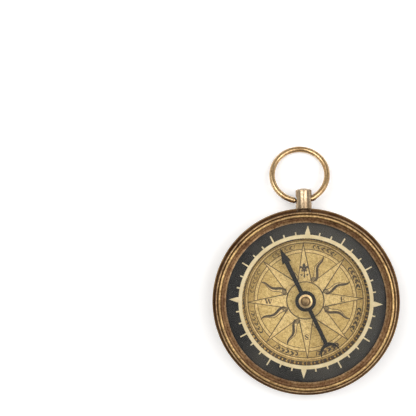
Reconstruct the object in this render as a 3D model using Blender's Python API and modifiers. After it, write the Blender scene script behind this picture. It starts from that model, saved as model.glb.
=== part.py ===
# Pocket compass in a turned brass case, lying on its back with its bow let down.
# +Z is the axis of the dial, +Y runs from the dial's centre to the pendant, and the origin
# is the centre of the flat back. Every size is in metres.

import math

import bmesh
import bpy

# Case: a brass pan, about two inches across, with a bead round its foot and a screwed bezel
CASE_RADIUS = 0.02565
BASE_BEAD_RADIUS = 0.00075
BASE_OVERHANG = 0.00125
CASE_WALL = 0.0016
CASE_FLOOR = 0.0010
SPIGOT_WALL = 0.00085
RIM_CHAMFER = 0.00015

# Bezel: a stepped ring whose lip holds the crystal down
BEZEL_INSET = 0.00105
BEZEL_RISE = 0.00135
BEZEL_CREST_INSET = 0.00115
BEZEL_RIDGE_RISE = 0.00054
BEZEL_RIDGE_HEIGHT = 0.00016
BEZEL_RIDGE_WIDTH = 0.0001
BEZEL_BEAD = 0.0003
BEZEL_SECOND_BEAD = 0.00022
BEZEL_SECOND_DROP = 0.00035
BEZEL_SHOULDER = 0.00035
BEZEL_SHOULDER_DROP = 0.00064
LIP_OVERLAP = 0.0011
LIP_EDGE = 0.00025
THREAD_GAP = 0.0002
SPIGOT_CLEARANCE = 0.0004

# Dial stack, from the floor up
STACK_GAP = 0.0001
BORE_GAP = 0.0001
PLATE_THICKNESS = 0.0012
CARD_THICKNESS = 0.0003
CARD_MARGIN = 0.0006
CARD_HOLE_GAP = 0.0001
SURROUND_HEIGHT = 0.0049
SURROUND_WALL = 0.0006
SURROUND_FLANGE = 0.0004
CHAPTER_BAND = 0.0053
CHAPTER_LIP = 0.00015
CHAPTER_THICKNESS = 0.0003
SPLIT_RING_WIRE = 0.0005
SPLIT_RING_GAP = 0.0040
CRYSTAL_THICKNESS = 0.0009
CRYSTAL_CHAMFER = 0.00015

# Pivot: a brass post riveted into the dial plate, with a hard steel point in it
POST_RADIUS = 0.00115
POST_SHANK_RADIUS = 0.0007
POST_HEIGHT = 0.0010
POST_CHAMFER = 0.0002
POST_GAP = 0.00005
PIN_RADIUS = 0.00033
PIN_SEAT_DEPTH = 0.0010
PIN_POINT_LENGTH = 0.0014
PIN_POINT_GAP = 0.00005

# Needle: sheet steel with a barbed head, a hub ring and a crescent tail
NEEDLE_LIFT = 0.0029
NEEDLE_THICKNESS = 0.00035
NEEDLE_TIP_CLEARANCE = 0.0013
NEEDLE_TAIL_CLEARANCE = 0.0009
NEEDLE_REST_ANGLE = math.radians(24.7)
HEAD_LENGTH = 0.0040
HEAD_HALF_WIDTH = 0.0013
BARB_SWEEP = 0.0002
SHAFT_HALF_WIDTH = 0.00048
NECK_HALF_WIDTH = 0.00056
HUB_RADIUS = 0.00285
CRESCENT_SPREAD = 0.0026
CRESCENT_DEPTH = 0.0036
CRESCENT_THICKNESS = 0.00095

# Cap: a brass cup riveted through the hub, with a jewel that rides on the point
CAP_SPIGOT_RADIUS = 0.0014
CAP_FIT_GAP = 0.00005
CAP_FLANGE_RADIUS = 0.0019
CAP_FLANGE_THICKNESS = 0.00032
CAP_BOSS_RADIUS = 0.0013
CAP_BOSS_HEIGHT = 0.0008
CAP_BOSS_ROUND = 0.0003
CAP_BORE_RADIUS = 0.0011
CAP_ROOF = 0.00035
CAP_SKIRT = 0.0002
JEWEL_THICKNESS = 0.0005
JEWEL_CONE_RADIUS = 0.00055
JEWEL_CONE_DEPTH = 0.0003

# Pendant: a drilled knob on a threaded stem, with a collar outside the wall and a nut inside
KNOB_RADIUS = 0.0022
KNOB_LENGTH = 0.00515
KNOB_DOME = 0.0005
KNOB_EDGE = 0.00015
BOW_HOLE_HEIGHT = 0.0026
COLLAR_RADIUS = 0.0019
COLLAR_THICKNESS = 0.0008
COLLAR_MARGIN = 0.0002
STEM_RADIUS = 0.0010
STEM_GAP = 0.0001
STEM_END = 0.0003
NUT_ACROSS_FLATS = 0.0030
NUT_THICKNESS = 0.0011
NUT_MARGIN = 0.0001
DRILL_OVERRUN = 0.0005

# Bow: a loop of round wire, butted inside the knob, that rests on the surface under the case
BOW_OUTER_RADIUS = 0.0084
BOW_WIRE_RADIUS = 0.0008
BOW_SIDE_LEAN = math.radians(7.5)
BOW_CLEARANCE = 0.00006
BOW_BUTT_GAP = 0.0004
BOW_SURFACE_GAP = 0.0001

# Facets of the large rings, of the small turned pieces, of outlines and of the wire loops
RING_STEPS = 72
SMALL_STEPS = 24
BEAD_STEPS = 5
EDGE_STEPS = 3
HUB_STEPS = 14
CRESCENT_STEPS = 9
BOW_STEPS = 60
BOW_SIDES = 4
SPLIT_RING_STEPS = 60
SPLIT_RING_SIDES = 1
WIRE_END_STEPS = 3
SHARP_ANGLE = math.radians(28)
MERGE_DISTANCE = 1e-7
HALF_HEX_ANGLE = math.radians(30)

# Radii of the case and of what drops into its bore
side_radius = CASE_RADIUS - BASE_OVERHANG
bore_radius = side_radius - CASE_WALL
spigot_radius = bore_radius + SPIGOT_WALL
bezel_radius = CASE_RADIUS - BEZEL_INSET
bezel_bore_radius = spigot_radius + THREAD_GAP
window_radius = bore_radius - LIP_OVERLAP
insert_radius = bore_radius - BORE_GAP
dial_wall_radius = bore_radius - CHAPTER_BAND
card_radius = dial_wall_radius + SURROUND_WALL + CARD_MARGIN
split_ring_radius = (window_radius + bore_radius) / 2

# Levels of the dial stack, each piece one gap above the last
plate_bottom = CASE_FLOOR + STACK_GAP
plate_top = plate_bottom + PLATE_THICKNESS
card_bottom = plate_top + STACK_GAP
card_top = card_bottom + CARD_THICKNESS
surround_bottom = card_top + STACK_GAP
surround_top = surround_bottom + SURROUND_HEIGHT
flange_bottom = surround_top - SURROUND_FLANGE
chapter_bottom = surround_top + STACK_GAP
chapter_top = chapter_bottom + CHAPTER_THICKNESS
split_ring_bottom = chapter_top + STACK_GAP
crystal_bottom = split_ring_bottom + SPLIT_RING_WIRE + STACK_GAP
crystal_top = crystal_bottom + CRYSTAL_THICKNESS
lip_bottom = crystal_top + STACK_GAP
bezel_top = lip_bottom + LIP_EDGE + BEZEL_RISE

# The pendant's nut clears the flange inside, and the case's shoulder clears the collar outside
pendant_level = flange_bottom - NUT_MARGIN - NUT_ACROSS_FLATS / 2
shoulder_level = pendant_level + COLLAR_RADIUS + COLLAR_MARGIN
spigot_top = lip_bottom - SPIGOT_CLEARANCE
collar_inner = side_radius + STACK_GAP
knob_bottom = collar_inner + COLLAR_THICKNESS + STACK_GAP
nut_corner = NUT_ACROSS_FLATS / 2 / math.cos(HALF_HEX_ANGLE)
nut_outer = math.sqrt(bore_radius**2 - nut_corner**2) - BORE_GAP
stem_inner = nut_outer - NUT_THICKNESS - STEM_END

# Heights of the needle and of what carries it
needle_bottom = card_top + NEEDLE_LIFT
needle_top = needle_bottom + NEEDLE_THICKNESS
cap_flange_bottom = needle_top + CAP_FIT_GAP
cap_flange_top = cap_flange_bottom + CAP_FLANGE_THICKNESS
cap_top = cap_flange_top + CAP_BOSS_HEIGHT
jewel_top = cap_top - CAP_ROOF - CAP_FIT_GAP
jewel_bottom = jewel_top - JEWEL_THICKNESS
post_top = card_top + POST_HEIGHT
point_level = jewel_bottom + JEWEL_CONE_DEPTH - PIN_POINT_GAP
needle_tip = dial_wall_radius - NEEDLE_TIP_CLEARANCE

# The bow's loop, seen square on: its centre lies off the knob's axis, since the loop leans
bow_radius = BOW_OUTER_RADIUS - BOW_WIRE_RADIUS
bow_centre_x = -bow_radius * math.sin(BOW_SIDE_LEAN)


def loop_height(radius, x):
    """How far the loop's circle of this radius lies below the loop's centre, at x."""
    return math.sqrt(radius**2 - (x - bow_centre_x) ** 2)


# The wire's arc inside the knob rises from its lowest point to the right hand mouth
bow_centre_y = (loop_height(bow_radius, KNOB_RADIUS) + bow_radius) / 2
bow_hole_radius = BOW_CLEARANCE + max(
    bow_centre_y - loop_height(bow_radius - BOW_WIRE_RADIUS, KNOB_RADIUS),
    bow_radius + BOW_WIRE_RADIUS - bow_centre_y,
)
bow_axis_y = knob_bottom + BOW_HOLE_HEIGHT
bow_reach = bow_centre_y + bow_radius
bow_droop = math.asin((pendant_level - BOW_WIRE_RADIUS - BOW_SURFACE_GAP) / bow_reach)


def clear_scene():
    for obj in list(bpy.data.objects):
        bpy.data.objects.remove(obj, do_unlink=True)


def new_collection(name):
    collection = bpy.data.collections.new(name)
    bpy.context.scene.collection.children.link(collection)
    return collection


def make_material(name, colour, roughness, metallic, transmission=0.0):
    material = bpy.data.materials.new(name)
    material.use_nodes = True
    shader = material.node_tree.nodes["Principled BSDF"]
    shader.inputs["Base Color"].default_value = (*colour, 1.0)
    shader.inputs["Roughness"].default_value = roughness
    shader.inputs["Metallic"].default_value = metallic
    shader.inputs["Transmission Weight"].default_value = transmission
    return material


def arc(centre, radius, start, end, steps):
    """Points on a circle in the profile's plane, between two angles in degrees."""
    angles = [math.radians(start + (end - start) * i / steps) for i in range(steps + 1)]
    return [(centre[0] + radius * math.cos(a), centre[1] + radius * math.sin(a)) for a in angles]


def bake(obj):
    """Turns an object's modifiers or curve into a plain mesh, shaded smooth up to its edges."""
    evaluated = obj.evaluated_get(bpy.context.evaluated_depsgraph_get())
    mesh = bpy.data.meshes.new_from_object(evaluated)
    work = bmesh.new()
    work.from_mesh(mesh)
    bmesh.ops.remove_doubles(work, verts=work.verts, dist=MERGE_DISTANCE)
    work.to_mesh(mesh)
    work.free()
    mesh.shade_smooth()
    mesh.set_sharp_from_angle(angle=SHARP_ANGLE)
    baked = bpy.data.objects.new(obj.name, mesh)
    baked.matrix_world = obj.matrix_world
    collection = obj.users_collection[0]
    name = obj.name
    bpy.data.objects.remove(obj, do_unlink=True)
    collection.objects.link(baked)
    baked.name = name
    mesh.name = name
    return baked


def turned(name, profile, steps, material, collection, closed=True):
    """A turned piece. Its profile is (radius, height) and runs down its outer side."""
    count = len(profile)
    edges = [(i, i + 1) for i in range(count - 1)]
    if closed:
        edges.append((count - 1, 0))
    mesh = bpy.data.meshes.new(name)
    mesh.from_pydata([(r, 0.0, z) for r, z in profile], edges, [])
    if material:
        mesh.materials.append(material)
    obj = bpy.data.objects.new(name, mesh)
    collection.objects.link(obj)
    screw = obj.modifiers.new("turn", "SCREW")
    screw.axis = "Z"
    screw.angle = math.tau
    screw.steps = steps
    screw.render_steps = steps
    screw.use_merge_vertices = True
    screw.merge_threshold = MERGE_DISTANCE
    screw.use_smooth_shade = True
    return bake(obj)


def flat_ring(name, inner, outer, bottom, top, material, collection):
    profile = [(inner, top), (outer, top), (outer, bottom), (inner, bottom)]
    return turned(name, profile, RING_STEPS, material, collection)


def round_drill(name, radius, length, cutters):
    """A cylinder that runs out past both faces of what it drills."""
    reach = length / 2 + DRILL_OVERRUN
    profile = [(0.0, reach), (radius, reach), (radius, -reach), (0.0, -reach)]
    return turned(name, profile, SMALL_STEPS, None, cutters, closed=False)


def wire_loop(name, path, wire_radius, resolution, material, collection):
    """An open loop of round wire along (x, y) points, with rounded ends."""
    curve = bpy.data.curves.new(name, "CURVE")
    curve.dimensions = "3D"
    curve.bevel_depth = wire_radius
    curve.bevel_resolution = resolution
    curve.use_fill_caps = True
    curve.materials.append(material)
    spline = curve.splines.new("POLY")
    spline.points.add(len(path) - 1)
    for point, (x, y, swell) in zip(spline.points, path):
        point.co = (x, y, 0.0, 1.0)
        point.radius = swell
    obj = bpy.data.objects.new(name, curve)
    collection.objects.link(obj)
    return bake(obj)


def loop_path(radius, wire_radius, start, end, steps, centre=(0.0, 0.0)):
    """Points (x, y, swell) round a circle, with angles in radians counted from its lowest
    point. The swell falls away over the last wire radius, which rounds both ends."""
    round_angle = wire_radius / radius
    first, last = start + round_angle, end - round_angle
    stops = []
    for i in range(WIRE_END_STEPS):
        turn = math.pi / 2 * (i + 0.5) / WIRE_END_STEPS
        stops.append((first - round_angle * math.cos(turn), math.sin(turn)))
    stops += [(first + (last - first) * i / steps, 1.0) for i in range(steps + 1)]
    for i in reversed(range(WIRE_END_STEPS)):
        turn = math.pi / 2 * (i + 0.5) / WIRE_END_STEPS
        stops.append((last + round_angle * math.cos(turn), math.sin(turn)))
    return [
        (centre[0] + radius * math.sin(a), centre[1] - radius * math.cos(a), swell)
        for a, swell in stops
    ]


def cut(obj, cutter):
    cutter.hide_render = True
    cutter.display_type = "WIRE"
    boolean = obj.modifiers.new("cut " + cutter.name, "BOOLEAN")
    boolean.operation = "DIFFERENCE"
    boolean.solver = "EXACT"
    boolean.object = cutter


def along_y(obj, y, z):
    """Lays a piece turned about its own +Z along +Y, at the pendant."""
    obj.rotation_euler = (-math.pi / 2, 0.0, 0.0)
    obj.location = (0.0, y, z)


def build_case(brass, parts, cutters):
    """The pan: floor, straight bore, screwed spigot, side and rolled foot."""
    bead_centre = (CASE_RADIUS - BASE_BEAD_RADIUS, BASE_BEAD_RADIUS)
    bead_start = math.degrees(math.acos((side_radius - bead_centre[0]) / BASE_BEAD_RADIUS))
    profile = [
        (0.0, CASE_FLOOR),
        (bore_radius, CASE_FLOOR),
        (bore_radius, spigot_top - RIM_CHAMFER),
        (bore_radius + RIM_CHAMFER, spigot_top),
        (spigot_radius - RIM_CHAMFER, spigot_top),
        (spigot_radius, spigot_top - RIM_CHAMFER),
        (spigot_radius, shoulder_level),
        (side_radius - RIM_CHAMFER, shoulder_level),
        (side_radius, shoulder_level - RIM_CHAMFER),
        *arc(bead_centre, BASE_BEAD_RADIUS, bead_start, -90, BEAD_STEPS),
        (0.0, 0.0),
    ]
    case = turned("case_body", profile, RING_STEPS, brass, parts, closed=False)
    drill = round_drill("stem_drill", STEM_RADIUS + STEM_GAP, CASE_WALL, cutters)
    along_y(drill, (side_radius + bore_radius) / 2, pendant_level)
    cut(case, drill)


def build_bezel(brass, parts):
    """The bezel: window, sloped ledge with a fine ridge, two beads, shoulder and skirt."""
    lip_top = lip_bottom + LIP_EDGE
    crest_radius = bezel_radius - BEZEL_CREST_INSET
    bead_centre = (crest_radius, bezel_top - BEZEL_BEAD)
    ridge_radius = (window_radius + crest_radius) / 2
    ridge_level = lip_top + BEZEL_RIDGE_RISE
    second_centre = (
        (crest_radius + BEZEL_BEAD + bezel_radius - BEZEL_SHOULDER) / 2,
        bead_centre[1] - BEZEL_SECOND_DROP,
    )
    shoulder_centre = (bezel_radius - BEZEL_SHOULDER, second_centre[1] - BEZEL_SHOULDER_DROP)
    skirt_bottom = shoulder_level + STACK_GAP
    profile = [
        (window_radius, lip_top),
        (ridge_radius - BEZEL_RIDGE_WIDTH, ridge_level),
        (ridge_radius, ridge_level + BEZEL_RIDGE_HEIGHT),
        *arc(bead_centre, BEZEL_BEAD, 160, 0, BEAD_STEPS),
        *arc(second_centre, BEZEL_SECOND_BEAD, 170, -10, BEAD_STEPS),
        *arc(shoulder_centre, BEZEL_SHOULDER, 85, 0, EDGE_STEPS),
        (bezel_radius, skirt_bottom + RIM_CHAMFER),
        (bezel_radius - RIM_CHAMFER, skirt_bottom),
        (bezel_bore_radius, skirt_bottom),
        (bezel_bore_radius, lip_bottom),
        (window_radius, lip_bottom),
    ]
    turned("bezel", profile, RING_STEPS, brass, parts)


def build_crystal(glass, parts):
    """The flat crystal, with its edge broken."""
    profile = [
        (0.0, crystal_top),
        (insert_radius - CRYSTAL_CHAMFER, crystal_top),
        (insert_radius, crystal_top - CRYSTAL_CHAMFER),
        (insert_radius, crystal_bottom + CRYSTAL_CHAMFER),
        (insert_radius - CRYSTAL_CHAMFER, crystal_bottom),
        (0.0, crystal_bottom),
    ]
    turned("crystal", profile, RING_STEPS, glass, parts, closed=False)


def build_split_ring(brass, parts):
    """The sprung wire ring that keeps the crystal off the chapter ring."""
    half_gap = SPLIT_RING_GAP / split_ring_radius / 2
    path = loop_path(
        split_ring_radius,
        SPLIT_RING_WIRE / 2,
        half_gap,
        math.tau - half_gap,
        SPLIT_RING_STEPS,
    )
    ring = wire_loop("crystal_split_ring", path, SPLIT_RING_WIRE / 2, SPLIT_RING_SIDES, brass, parts)
    ring.location.z = split_ring_bottom + SPLIT_RING_WIRE / 2


def build_surround(brass, parts):
    """The drawn ring round the dial: a polished wall with a flange that carries the chapter ring."""
    wall_outer = dial_wall_radius + SURROUND_WALL
    profile = [
        (dial_wall_radius, surround_top),
        (insert_radius, surround_top),
        (insert_radius, flange_bottom),
        (wall_outer, flange_bottom),
        (wall_outer, surround_bottom),
        (dial_wall_radius, surround_bottom),
    ]
    turned("dial_surround", profile, RING_STEPS, brass, parts)


def build_dial(parts, brass, black, parchment):
    """The chapter ring on top of the surround, and the card and its plate under it."""
    chapter_inner = dial_wall_radius - CHAPTER_LIP
    flat_ring("chapter_ring", chapter_inner, insert_radius, chapter_bottom, chapter_top, black, parts)
    card_hole = POST_RADIUS + CARD_HOLE_GAP
    flat_ring("dial_card", card_hole, card_radius, card_bottom, card_top, parchment, parts)
    plate_hole = POST_SHANK_RADIUS + POST_GAP
    flat_ring("dial_plate", plate_hole, insert_radius, plate_bottom, plate_top, brass, parts)


def build_pivot(brass, steel, parts):
    """The post, riveted through the plate, and the pointed pin in the post's blind hole."""
    seat = post_top - PIN_SEAT_DEPTH
    seat_radius = PIN_RADIUS + POST_GAP
    post = [
        (0.0, seat),
        (seat_radius, seat),
        (seat_radius, post_top),
        (POST_RADIUS - POST_CHAMFER, post_top),
        (POST_RADIUS, post_top - POST_CHAMFER),
        (POST_RADIUS, plate_top + POST_GAP),
        (POST_SHANK_RADIUS, plate_top + POST_GAP),
        (POST_SHANK_RADIUS, plate_bottom),
        (0.0, plate_bottom),
    ]
    turned("pivot_post", post, SMALL_STEPS, brass, parts, closed=False)
    pin = [
        (0.0, point_level),
        (PIN_RADIUS, point_level - PIN_POINT_LENGTH),
        (PIN_RADIUS, seat + POST_GAP),
        (0.0, seat + POST_GAP),
    ]
    turned("pivot_pin", pin, SMALL_STEPS, steel, parts, closed=False)


def crescent_outline(half_width):
    """The tail from the shaft's right edge to its left, with -Y as the way it points. Both
    arcs end at the horns' tips, so each has its centre where its root and a tip put it."""
    tip_x = CRESCENT_SPREAD
    tip_y = math.sqrt((dial_wall_radius - NEEDLE_TAIL_CLEARANCE) ** 2 - tip_x**2)
    outer_root = tip_y - CRESCENT_DEPTH
    inner_root = outer_root + CRESCENT_THICKNESS

    def centre_through(root):
        return (tip_y**2 + tip_x**2 - root**2) / (2 * (tip_y - root))

    outer_centre = centre_through(outer_root)
    outer_radius = outer_centre - outer_root
    inner_centre = centre_through(inner_root)
    inner_radius = inner_centre - inner_root
    join = 90 - math.degrees(math.asin(half_width / outer_radius))
    outer_end = -math.degrees(math.atan2(tip_y - outer_centre, tip_x))
    inner_end = -math.degrees(math.atan2(tip_y - inner_centre, tip_x))
    right = arc((0.0, -outer_centre), outer_radius, join, outer_end, CRESCENT_STEPS)
    inside_steps = 2 * CRESCENT_STEPS
    inside = arc((0.0, -inner_centre), inner_radius, inner_end, 180 - inner_end, inside_steps)
    left = [(-x, y) for x, y in reversed(right)]
    return right + inside[1:-1] + left


def needle_outline():
    """The needle's outline, with its barbed head at +Y and the hub's centre at the origin."""
    barb_y = needle_tip - HEAD_LENGTH
    hub_top = math.degrees(math.acos(SHAFT_HALF_WIDTH / HUB_RADIUS))
    right_top = [
        (HEAD_HALF_WIDTH, barb_y),
        (NECK_HALF_WIDTH, barb_y + BARB_SWEEP),
    ]
    hub_right = arc((0.0, 0.0), HUB_RADIUS, hub_top, -hub_top, HUB_STEPS)
    left_top = [(-x, y) for x, y in reversed(right_top)]
    hub_left = [(-x, y) for x, y in reversed(hub_right)]
    tail = crescent_outline(SHAFT_HALF_WIDTH)
    return [(0.0, needle_tip), *right_top, *hub_right, *tail, *hub_left, *left_top]


def add_closed_spline(curve, points):
    spline = curve.splines.new("POLY")
    spline.points.add(len(points) - 1)
    for point, (x, y) in zip(spline.points, points):
        point.co = (x, y, 0.0, 1.0)
    spline.use_cyclic_u = True


def build_needle(blued, brass, ruby, parts):
    """The needle, its cap and the cap's jewel, which turn together on the point."""
    curve = bpy.data.curves.new("needle", "CURVE")
    curve.dimensions = "2D"
    curve.fill_mode = "BOTH"
    curve.extrude = NEEDLE_THICKNESS / 2
    curve.materials.append(blued)
    add_closed_spline(curve, needle_outline())
    hole_radius = CAP_SPIGOT_RADIUS + CAP_FIT_GAP
    add_closed_spline(curve, arc((0.0, 0.0), hole_radius, 0, 360, SMALL_STEPS)[:-1])
    outline = bpy.data.objects.new("needle", curve)
    parts.objects.link(outline)
    needle = bake(outline)

    skirt_bottom = needle_bottom - CAP_SKIRT
    roof = cap_top - CAP_ROOF
    boss_round = (CAP_BOSS_RADIUS - CAP_BOSS_ROUND, cap_top - CAP_BOSS_ROUND)
    cap_profile = [
        (0.0, cap_top),
        *arc(boss_round, CAP_BOSS_ROUND, 90, 0, EDGE_STEPS),
        (CAP_BOSS_RADIUS, cap_flange_top),
        (CAP_FLANGE_RADIUS, cap_flange_top),
        (CAP_FLANGE_RADIUS, cap_flange_bottom),
        (CAP_SPIGOT_RADIUS, cap_flange_bottom),
        (CAP_SPIGOT_RADIUS, skirt_bottom),
        (CAP_BORE_RADIUS, skirt_bottom),
        (CAP_BORE_RADIUS, roof),
        (0.0, roof),
    ]
    cap_profile = [(r, z - point_level) for r, z in cap_profile]
    cap = turned("needle_cap", cap_profile, SMALL_STEPS, brass, parts, closed=False)

    jewel_radius = CAP_BORE_RADIUS - CAP_FIT_GAP
    jewel_profile = [
        (0.0, jewel_top),
        (jewel_radius, jewel_top),
        (jewel_radius, jewel_bottom),
        (JEWEL_CONE_RADIUS, jewel_bottom),
        (0.0, jewel_bottom + JEWEL_CONE_DEPTH),
    ]
    jewel_profile = [(r, z - point_level) for r, z in jewel_profile]
    jewel = turned("cap_jewel", jewel_profile, SMALL_STEPS, ruby, parts, closed=False)

    pivot = bpy.data.objects.new("needle_pivot", None)
    pivot.empty_display_size = HUB_RADIUS
    parts.objects.link(pivot)
    pivot.location = (0.0, 0.0, point_level)
    pivot.rotation_euler.z = NEEDLE_REST_ANGLE
    needle.location.z = (needle_bottom + needle_top) / 2 - point_level
    for piece in (needle, cap, jewel):
        piece.parent = pivot


def build_pendant(brass, parts, cutters):
    """The knob with its stem and cross hole, the collar under it and the nut in the case."""
    dome_radius = (KNOB_RADIUS**2 + KNOB_DOME**2) / (2 * KNOB_DOME)
    dome_centre = (0.0, KNOB_LENGTH + KNOB_DOME - dome_radius)
    dome_half = math.degrees(math.asin((KNOB_RADIUS - KNOB_EDGE) / dome_radius))
    stem_length = knob_bottom - stem_inner
    profile = [
        (0.0, KNOB_LENGTH + KNOB_DOME),
        *arc(dome_centre, dome_radius, 90, 90 - dome_half, BEAD_STEPS)[1:],
        (KNOB_RADIUS, KNOB_LENGTH - KNOB_EDGE),
        (KNOB_RADIUS, KNOB_EDGE),
        (KNOB_RADIUS - KNOB_EDGE, 0.0),
        (STEM_RADIUS, 0.0),
        (STEM_RADIUS, -stem_length),
        (0.0, -stem_length),
    ]
    knob = turned("pendant_knob", profile, SMALL_STEPS, brass, parts, closed=False)
    along_y(knob, knob_bottom, pendant_level)

    drill = round_drill("bow_drill", bow_hole_radius, 2 * KNOB_RADIUS, cutters)
    drill.rotation_euler = (0.0, math.pi / 2, 0.0)
    drill.location = (0.0, bow_axis_y, pendant_level)
    cut(knob, drill)

    inner = STEM_RADIUS + STEM_GAP
    washer = [
        (inner, COLLAR_THICKNESS),
        (COLLAR_RADIUS, COLLAR_THICKNESS),
        (COLLAR_RADIUS, 0.0),
        (inner, 0.0),
    ]
    collar = turned("pendant_collar", washer, SMALL_STEPS, brass, parts)
    along_y(collar, collar_inner, pendant_level)

    hexagon = bmesh.new()
    bmesh.ops.create_cone(
        hexagon,
        cap_ends=True,
        segments=6,
        radius1=nut_corner,
        radius2=nut_corner,
        depth=NUT_THICKNESS,
    )
    mesh = bpy.data.meshes.new("pendant_nut")
    hexagon.to_mesh(mesh)
    hexagon.free()
    mesh.materials.append(brass)
    nut = bpy.data.objects.new("pendant_nut", mesh)
    parts.objects.link(nut)
    nut_middle = nut_outer - NUT_THICKNESS / 2
    along_y(nut, nut_middle, pendant_level)
    nut.rotation_euler.rotate_axis("Z", HALF_HEX_ANGLE)
    tap = round_drill("nut_tap", inner, NUT_THICKNESS, cutters)
    along_y(tap, nut_middle, pendant_level)
    cut(nut, tap)


def build_bow(brass, parts):
    """The wire loop. Its origin is on the hole's axis, and it droops to the surface."""
    mouth_x = -math.sqrt(KNOB_RADIUS**2 - bow_hole_radius**2)
    left_end = math.asin((mouth_x - bow_centre_x) / bow_radius)
    right_end = left_end + BOW_BUTT_GAP / bow_radius
    path = loop_path(
        bow_radius,
        BOW_WIRE_RADIUS,
        right_end,
        left_end + math.tau,
        BOW_STEPS,
        centre=(bow_centre_x, bow_centre_y),
    )
    bow = wire_loop("bow", path, BOW_WIRE_RADIUS, BOW_SIDES, brass, parts)
    bow.location = (0.0, bow_axis_y, pendant_level)
    bow.rotation_euler.x = -bow_droop


def build_compass():
    clear_scene()
    parts = new_collection("pocket_compass")
    cutters = new_collection("cutters")
    brass = make_material("brass", (0.60, 0.42, 0.20), 0.28, 1.0)
    polished = make_material("polished_brass", (0.72, 0.54, 0.28), 0.15, 1.0)
    black = make_material("black_enamel", (0.035, 0.032, 0.028), 0.45, 0.0)
    parchment = make_material("parchment_card", (0.52, 0.36, 0.15), 0.75, 0.0)
    blued = make_material("blued_steel", (0.02, 0.02, 0.025), 0.38, 1.0)
    steel = make_material("pivot_steel", (0.45, 0.45, 0.46), 0.25, 1.0)
    glass = make_material("crystal_glass", (1.0, 1.0, 1.0), 0.02, 0.0, transmission=1.0)
    ruby = make_material("jewel_glass", (0.55, 0.08, 0.06), 0.10, 0.0, transmission=0.6)
    build_case(brass, parts, cutters)
    build_bezel(brass, parts)
    build_crystal(glass, parts)
    build_split_ring(brass, parts)
    build_surround(polished, parts)
    build_dial(parts, brass, black, parchment)
    build_pivot(brass, steel, parts)
    build_needle(blued, polished, ruby, parts)
    build_pendant(polished, parts, cutters)
    build_bow(polished, parts)
    print(f"bow's hole {bow_hole_radius * 1000:.3f} mm in radius")
    print(f"bow let down by {math.degrees(bow_droop):.2f} degrees")
    print(f"bow's axis at y {bow_axis_y * 1000:.3f} mm, z {pendant_level * 1000:.3f} mm")
    print(f"needle turns about its point at z {point_level * 1000:.3f} mm")


build_compass()
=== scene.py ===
# %% [markdown]
# # A brass pocket compass
# The solids of the compass are already made and move as they should. This lesson dresses them:
# it builds the finely turned brass, the printed card and scale, the needle and the bow, and
# gives each its finish. The first lines load the solids, which stay exactly where they are.
# Sizes are written in millimetres, and MM turns them into metres.

import math

import bmesh
import bpy
from mathutils import Matrix, Vector


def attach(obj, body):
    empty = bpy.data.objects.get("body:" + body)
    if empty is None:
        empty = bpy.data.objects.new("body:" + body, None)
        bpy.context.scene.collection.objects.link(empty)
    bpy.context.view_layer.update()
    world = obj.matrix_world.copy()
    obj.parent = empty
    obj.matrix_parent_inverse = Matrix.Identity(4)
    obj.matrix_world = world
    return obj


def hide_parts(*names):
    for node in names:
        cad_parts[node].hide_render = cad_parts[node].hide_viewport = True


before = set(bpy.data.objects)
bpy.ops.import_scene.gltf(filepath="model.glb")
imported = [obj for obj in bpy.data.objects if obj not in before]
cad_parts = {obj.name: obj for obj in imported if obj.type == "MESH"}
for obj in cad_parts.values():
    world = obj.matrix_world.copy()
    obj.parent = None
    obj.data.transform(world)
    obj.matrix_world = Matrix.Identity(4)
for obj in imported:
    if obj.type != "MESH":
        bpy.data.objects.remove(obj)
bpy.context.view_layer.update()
MM = 0.001


print("solids:", sorted(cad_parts))

# %% [markdown]
# ## Camera
# The compass is seen almost straight down, by a camera 31 cm over the bezel that is rolled one
# degree. It aims past the compass's upper left side, so the compass sits low on the right of
# the picture. Its axes are built by hand: backwards from where it looks, then right, then up.

# %% Camera
CAMERA_PLACE = Vector((-6.09, 25.74, 321.4)) * MM
CAMERA_AIM = Vector((-26.04, 26.11, 11.4)) * MM
CAMERA_ROLL = math.radians(1.06)
CAMERA_LENS = 99.0
NEAREST, FARTHEST = 0.01, 20


def add_object(name, data):
    """Puts a new object into the scene."""
    thing = bpy.data.objects.new(name, data)
    bpy.context.scene.collection.objects.link(thing)
    return thing


camera_data = bpy.data.cameras.new("camera")
camera_data.lens = CAMERA_LENS
camera_data.clip_start, camera_data.clip_end = NEAREST, FARTHEST
camera = add_object("camera", camera_data)
backward = (CAMERA_PLACE - CAMERA_AIM).normalized()
upward = Vector((math.sin(CAMERA_ROLL), math.cos(CAMERA_ROLL), 0.0))
rightward = upward.cross(backward).normalized()
upward = backward.cross(rightward)
turn_to_world = Matrix((rightward, upward, backward)).transposed().to_4x4()
camera.matrix_world = Matrix.Translation(CAMERA_PLACE) @ turn_to_world
bpy.context.scene.camera = camera
print("camera stands", round((CAMERA_PLACE - CAMERA_AIM).length, 3), "m from the bezel")

# %% [markdown]
# ## Light
# Turned brass shows what stands round it. Large soft lamps give broad, calm highlights, and a
# world of middle grey leaves the flanks that face away from the lamps darker, so each bead
# and step of the bezel reads. The main lamp stands to the upper left and a second one right.
# Both hang high, so that the flat glass doesn't mirror them to a camera that looks in from low
# down. A faint low one at the lower right lightens the bezel's slope on the far side.

# %% Lamps and world
WINDOW_TINT, LAMP_TINT = (1.0, 0.985, 0.96), (1.0, 0.985, 0.97)
WORLD_GREY = 0.26


def add_lamp(name, place, size, power, tint):
    """A soft rectangular lamp that looks at the compass. Places and sizes are in metres."""
    data = bpy.data.lights.new(name, "AREA")
    data.shape = "RECTANGLE"
    data.size, data.size_y = size
    data.energy = power
    data.color = tint
    lamp = add_object(name, data)
    lamp.location = place
    lamp.rotation_mode = "QUATERNION"
    lamp.rotation_quaternion = Vector(place).to_track_quat("Z", "Y")


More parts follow.
